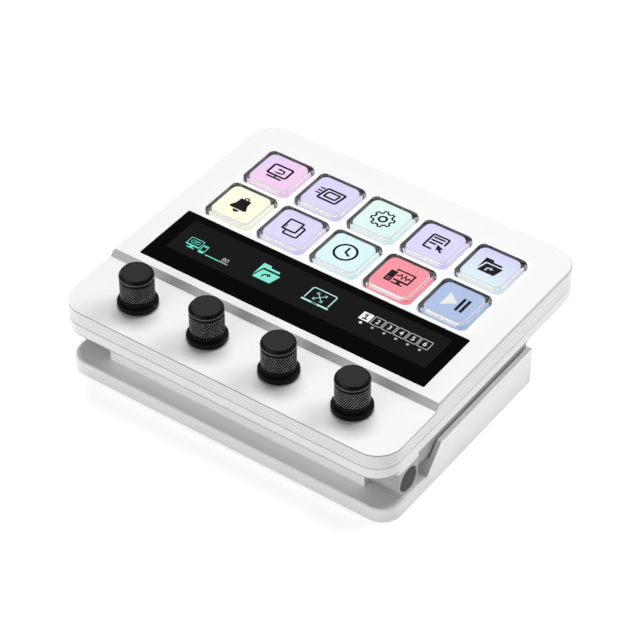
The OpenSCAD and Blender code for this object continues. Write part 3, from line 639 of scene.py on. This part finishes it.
# Outlines of each key's dark and pale picture, from the middle of the key
def keyPictures():
    bold, plain, fine = 0.89, 0.81, 0.68
    dark, pale = {}, {}
    # Screen with a turning arrow
    dark[1] = [boxLine((-3.6, -1.95), (4.05, 3.4), 0.8, bold),
               stroke([(0.3, -2.3), (0.3, -3.2)], fine), stroke([(-2.6, -3.35), (3.0, -3.35)], plain),
               bentLine([(-0.3, 1.45), (1.8, 1.45), (1.8, -0.4), (-0.9, -0.4)], 0.8, fine),
               [[(-1.4, 1.45), (0.0, 2.1), (0.0, 0.8)]]]
    # Moving window
    dark[2] = [stroke(roundedPath([(-3.35, -3.05), (4.15, -3.15), (5.0, 2.6), (-2.4, 2.7)], 0.7), bold, True),
               stroke(roundedPath([(-1.65, -1.45), (2.95, -1.5), (3.5, 1.35), (-1.25, 1.35)], 0.5), plain, True)]
    dark[2] += [stroke([(x0, y), (x1, y)], fine)
                for x0, x1, y in ((-4.9, -3.4, 1.9), (-5.1, -3.6, 0.4), (-5.2, -3.9, -1.0))]
    # Gear
    dark[3] = [[gearPath(4.55, 3.65, 0.0, 0.12), gearPath(3.85, 2.95, 0.11, 0.08)],
               stroke(circlePath(gearSetup["centre"], 1.4), plain, True)]
    # Page with a pointer
    dark[4] = [bentLine([(0.1, -3.7), (-2.9, -3.7), (-2.9, 3.55), (3.45, 3.55), (3.45, 0.3)], 0.8, plain),
               stroke([(-1.8, 2.25), (2.1, 2.25)], plain), stroke([(-1.8, 0.65), (2.1, 0.65)], plain),
               stroke([(-1.8, -0.9), (0.3, -0.9)], plain),
               [[(1.15, -0.55), (4.2, -1.8), (3.3, -2.4), (4.6, -3.5), (3.95, -4.1), (2.7, -2.95), (2.0, -3.5)]]]
    # Open folder with an arrow
    dark[5] = [[[(-3.7, 3.5), (-0.8, 3.5), (-0.2, 2.5), (3.3, 2.45), (3.45, 1.5), (-2.6, 1.5), (-3.6, -2.4)]],
               [roundedPath([(-2.1, 0.95), (4.35, 0.95), (3.3, -3.5), (-3.2, -3.5)], 0.25)]]
    pale[5] = [bentLine([(-0.7, -2.3), (-0.6, -0.9), (0.6, -0.85)], 0.7, fine),
               [[(0.5, -0.15), (1.75, -1.0), (0.5, -1.75)]]]
    # Bell
    dark[6] = [[roundedPath([(-2.0, 2.95), (2.35, 2.95), (2.45, 0.3), (3.75, -2.2), (2.9, -2.7), (-2.6, -2.7),
                             (-3.4, -2.2), (-2.1, 0.3)], 0.35)],
               stroke(arcPath((0.2, 3.2), 0.75, 0, 180), 0.61), [arcPath((0.2, -3.1), 1.25, 180, 360)]]
    # Two sheets
    dark[7] = [boxLine((-3.3, -1.75), (2.15, 3.75), 0.5, plain),
               bentLine([(2.85, 1.9), (3.95, 1.9), (3.95, -3.85), (-1.6, -3.85), (-1.6, -2.5)], 0.6, 0.76),
               stroke([(-2.55, 0.7), (-2.55, -1.0)], 0.39)]
    # Clock
    dark[8] = [stroke(circlePath((0, 0), 4.0, 56), bold, True), stroke([(0, 2.5), (0, 0), (1.9, -1.1)], plain)]
    # Computer with a wave on its screen
    dark[9] = [[boxPath((-4.25, -3.8), (-1.6, 1.85))],
               stroke([(-2.3, 2.4), (-2.3, 3.0), (4.5, 3.0), (4.5, -1.4)], fine),
               [boxPath((-1.1, -2.4), (4.7, -1.5))], [boxPath((0.6, -3.3), (2.0, -2.45))],
               stroke([(-0.9, -3.6), (3.1, -3.6)], fine),
               stroke([(-1.1, 0.4), (-0.4, 0.4), (0.2, 1.5), (1.1, -0.5), (1.8, 1.5), (2.7, -0.3), (3.3, 0.8),
                       (3.8, 0.4)], 0.58)]
    pale[9] = [stroke([(-3.7, y), (-2.2, y)], 0.21) for y in (-1.9, -2.8)]
    # Play and pause
    pale[10] = [[roundedPath([(-3.6, -3.6), (-3.6, 3.6), (1.2, 0.0)], 0.5)]]
    dark[10] = [[roundedPath(boxPath((x, -3.4), (x + 1.1, 3.4)), 0.2)] for x in (1.7, 3.6)]
    return dark, pale


dark, pale = keyPictures()
tint = {5: inkMaterial("inkFolder", (0.62, 0.70, 0.90), 0.9), 9: inkMaterial("inkSlot", (0.95, 0.27, 0.335), 0.9),
        10: inkWhite}
thick = tileSetup["ink"]
for n in range(1, 11):
    place = makeTile(n)
    makePicture(f"picture_{n}", [plateMesh(shape, thick) for shape in dark[n]], place, inkDark, f"key_{n}")
    if n in pale:
        makePicture(f"pictureLight_{n}", [plateMesh(shape, thick) for shape in pale[n]],
                    place + Vector((0, 0, thick)), tint[n], f"key_{n}")

print("stage: strip pictures")
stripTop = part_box("strip_glass")[1].z/mm + stripSetup["lift"]
over = stripSetup["ink"]


def stripPicture(name, shapes, material, raised=0.0, numbers=()):
    plates = [plateMesh(shape, stripSetup["ink"]) for shape in shapes]
    plates += [numberMesh(text, size, middle, stripSetup["ink"]) for text, size, middle in numbers]
    makePicture(name, plates, Vector((0, 0, stripTop + raised)), material, "deck")


# Desktop screen, telephone and level bar
stripPicture("stripScreen", [
    boxLine((-47.9, -12.1), (-42.6, -8.3), 0.3, 0.26), [boxPath((-47.8, -12.1), (-42.7, -11.6))],
    [boxPath((-45.9, -13.1), (-44.7, -12.2))], stroke([(-46.7, -13.25), (-43.8, -13.25)], 0.35),
    bentLine([(-45.4, -9.3), (-46.9, -9.3), (-46.9, -10.7), (-45.4, -10.7)], 0.6, 0.22),
    bentLine([(-45.1, -10.7), (-43.6, -10.7), (-43.6, -9.3), (-45.1, -9.3)], 0.6, 0.22),
    stroke([(-45.9, -10.4), (-44.5, -9.6)], 0.22),
    boxLine((-41.9, -13.4), (-39.9, -9.6), 0.3, 0.28), [boxPath((-41.8, -13.3), (-40.0, -12.4))],
    [boxPath((-41.6, -10.3), (-40.2, -9.9))], stroke([(-38.7, -13.35), (-31.9, -13.35)], 0.42)], inkTeal)
stripPicture("stripLevel", [stroke([(-31.6, -13.35), (-29.6, -13.35)], 0.38)], inkPale,
             numbers=[("80", 2.7, (-31.4, -11.9))])
# Open folder with an arrow
stripPicture("stripFolder", [
    [roundedPath([(-19.95, -5.15), (-16.9, -5.15), (-16.3, -6.15), (-12.6, -6.2), (-12.4, -7.15), (-18.7, -7.15),
                  (-19.9, -11.8)], 0.25)],
    [roundedPath([(-18.3, -8.05), (-11.3, -8.05), (-12.5, -12.8), (-19.6, -12.8)], 0.35)]], inkMint)
stripPicture("stripArrow", [bentLine([(-16.75, -11.2), (-16.6, -9.75), (-15.3, -9.65)], 0.8, 0.6),
                            [[(-15.35, -8.75), (-14.0, -9.75), (-15.35, -10.6)]]], inkDark, over)
# Laptop whose screen shows four arrows pointing to its corners
arrowMiddle, arrowNear, arrowFar = (5.45, -8.85), 1.0, 1.8


def arrowHead(sideX, sideY):
    reach = ((arrowNear, arrowFar), (arrowFar, arrowFar), (arrowFar, arrowNear))
    return stroke([(arrowMiddle[0] + sideX*x, arrowMiddle[1] + sideY*y) for x, y in reach], 0.24)


stripPicture("stripLaptop", [
    bentLine([(0.85, -11.2), (0.85, -5.45), (10.35, -5.45), (10.35, -11.2)], 0.9, 0.42),
    stroke([(0.55, -12.25), (10.7, -12.25)], 0.75),
    stroke([(4.1, -7.5), (6.8, -10.2)], 0.24), stroke([(4.1, -10.2), (6.8, -7.5)], 0.24),
    *(arrowHead(sideX, sideY) for sideX in (-1, 1) for sideY in (-1, 1))], inkIce)
stripPicture("stripNotch", [stroke([(4.5, -12.25), (6.4, -12.25)], 0.5)], inkDark, over)
# Six numbered pages, the first one chosen
pageSetup = {"first": 23.4, "pitch": 4.63, "middle": -7.8, "side": 4.0, "corner": 0.35, "dot": -11.15,
             "dotSizes": (0.55, 0.5), "number": 2.9, "line": 0.3}
pages = [pageSetup["first"] + k*pageSetup["pitch"] for k in range(6)]
middle, half = pageSetup["middle"], pageSetup["side"]/2
frames = [roundedPath(boxPath((x - half, middle - half), (x + half, middle + half)), pageSetup["corner"])
          for x in pages]
dots = [[circlePath((x, pageSetup["dot"]), pageSetup["dotSizes"][min(k, 1)], 20)] for k, x in enumerate(pages)]
stripPicture("stripPage", [[frames[0]], dots[0]], inkWhite)
oneLines = (((-0.75, 0.65), (0.0, 1.15), (0.0, -1.1)), ((-0.75, -1.1), (0.75, -1.1)))
stripPicture("stripPageNumber", [stroke([(pages[0] + x, middle + y) for x, y in line], 0.55) for line in oneLines],
             inkDark, over)
stripPicture("stripPages", [stroke(line, pageSetup["line"], True) for line in frames[1:]] + dots[1:], inkPale)
stripPicture("stripNumbers", [], inkWhite,
             numbers=[(str(k + 1), pageSetup["number"], (x, middle)) for k, x in enumerate(pages) if k])


print("stage: floor and light")
# The floor shows white to the camera, in gloss and through the caps, and still takes the shadow
floorSetup = {"half": 6, "color": (0.9, 0.9, 0.9, 1), "glow": 0.6}
floorMesh = bpy.data.meshes.new("floor")
bm = bmesh.new()
bmesh.ops.create_grid(bm, x_segments=1, y_segments=1, size=floorSetup["half"])
bm.to_mesh(floorMesh)
bm.free()
floor = addObject("floor", floorMesh)
material, tree, shader = newMaterial("floorWhite", Base_Color=floorSetup["color"], Roughness=0.9,
                                     Specular_IOR_Level=0.0, Emission_Color=(1, 1, 1, 1))
rays = addNode(tree, "ShaderNodeLightPath", (-300, -300))
seen = addNode(tree, "ShaderNodeMath", (-100, -300), operation="MAXIMUM")
both = addNode(tree, "ShaderNodeMath", (-100, -450), operation="MAXIMUM")
glow = addNode(tree, "ShaderNodeMath", (100, -300), {1: floorSetup["glow"]}, operation="MULTIPLY")
tree.links.new(rays.outputs["Is Camera Ray"], seen.inputs[0])
tree.links.new(rays.outputs["Is Glossy Ray"], seen.inputs[1])
tree.links.new(seen.outputs[0], both.inputs[0])
tree.links.new(rays.outputs["Is Transmission Ray"], both.inputs[1])
tree.links.new(both.outputs[0], glow.inputs[0])
tree.links.new(glow.outputs[0], shader.inputs["Emission Strength"])
floorMesh.materials.append(material)

# The room is a little darker overhead than along the horizon
roomSetup = {"low": 0.12, "high": 0.1, "from": 0.1, "to": 0.5}
world = bpy.data.worlds.new("studioWorld")
scene.world = world
world.use_nodes = True
room = world.node_tree
room.nodes.clear()
roomOut = addNode(room, "ShaderNodeOutputWorld", (600, 0))
roomLight = addNode(room, "ShaderNodeBackground", (400, 0), {"Color": (1, 1, 1, 1)})
way = addNode(room, "ShaderNodeTexCoord", (-400, 0))
parts = addNode(room, "ShaderNodeSeparateXYZ", (-200, 0))
fall = addNode(room, "ShaderNodeMapRange", (100, 0), {"From Min": roomSetup["from"], "From Max": roomSetup["to"],
                                                      "To Min": roomSetup["low"], "To Max": roomSetup["high"]})
room.links.new(way.outputs["Generated"], parts.inputs[0])
room.links.new(parts.outputs[2], fall.inputs["Value"])
room.links.new(fall.outputs["Result"], roomLight.inputs["Strength"])
room.links.new(roomLight.outputs[0], roomOut.inputs[0])

# Lamps, all turned to the pad, with places and sizes in metres and powers in watts
lightSetup = {
    "rearTop": {"place": (-0.34, 0.49, 1.38), "size": (0.8, 0.6), "power": 16.0},
    "rearRight": {"place": (0.55, 1.0, 1.0), "size": (0.9, 0.7), "power": 12.5},
    "frontLow": {"place": (-0.4, -1.4, 0.55), "size": (1.4, 0.5), "power": 10.5},
    "rightLow": {"place": (1.5, -0.1, 0.25), "size": (1.4, 0.35), "power": 2.0},
}
for name, spec in lightSetup.items():
    lamp = bpy.data.lights.new(name, "AREA")
    lamp.shape = "RECTANGLE"
    lamp.size, lamp.size_y = spec["size"]
    lamp.energy = spec["power"]
    holder = addObject(name, lamp)
    holder.location = spec["place"]
    holder.rotation_mode = "QUATERNION"
    holder.rotation_quaternion = (-Vector(spec["place"])).to_track_quat("-Z", "Y")
